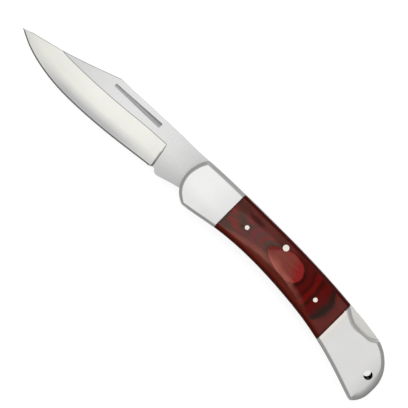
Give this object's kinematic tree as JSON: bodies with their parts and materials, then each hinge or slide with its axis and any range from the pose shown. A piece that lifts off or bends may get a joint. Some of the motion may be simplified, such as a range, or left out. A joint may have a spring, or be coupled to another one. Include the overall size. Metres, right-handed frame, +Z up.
{
  "type": "folding knife",
  "caption": "Folding lock-back pocket knife with a hollow-ground clip-point blade, steel bolsters and red laminated wood scales, shown open.",
  "frame": {"origin": "under the middle of the open knife, on the surface that it lies on", "axes": "+X from the blade's tip to the butt, +Y towards the spine, +Z up through the thickness, out of the left side"},
  "size_m": [0.203, 0.0294, 0.0132],
  "materials": {
    "blade_steel": "satin flats and polished hollow grind",
    "bar_steel": "fine satin",
    "spring_steel": "tempered, dull",
    "liner_steel": "satin",
    "bolster_steel": "polished, with a bevelled rim",
    "red_wood": "laminated, stained dark red, gloss",
    "pin_steel": "ground flush",
    "nickel_silver": "pale, ground flush and polished"
  },
  "bodies": {
    "handle": {"liner_left": "liner_steel", "liner_right": "liner_steel", "front_bolster_left": "bolster_steel", "front_bolster_right": "bolster_steel", "rear_bolster_left": "bolster_steel", "rear_bolster_right": "bolster_steel", "scale_left": "red_wood", "scale_right": "red_wood", "back_spacer": "bar_steel", "lock_spring": "spring_steel", "blade_pivot_pin": "pin_steel", "lock_bar_pin": "nickel_silver", "spacer_pin_upper": "pin_steel", "spacer_pin_lower": "pin_steel", "scale_pin_front_left": "nickel_silver", "scale_pin_front_right": "nickel_silver", "scale_pin_rear_left": "nickel_silver", "scale_pin_rear_right": "nickel_silver"},
    "blade": {"blade": "blade_steel"},
    "lock_bar": {"lock_bar": "bar_steel"}
  },
  "joints": [
    {"name": "blade_fold", "type": "hinge", "parent": "handle", "child": "blade", "pos_m": [-0.00629, 0.00347, 0.0066], "axis": [0, 0, 1], "range_deg": [0, 170]},
    {"name": "lock_press", "type": "hinge", "parent": "handle", "child": "lock_bar", "pos_m": [0.03646, 0.01088, 0.0066], "axis": [0, 0, -1], "range_deg": [0, 3.2], "stiffness_Nm_per_rad": 4, "springref_deg": -1.72, "deforming": ["lock_spring"]}
  ]
}
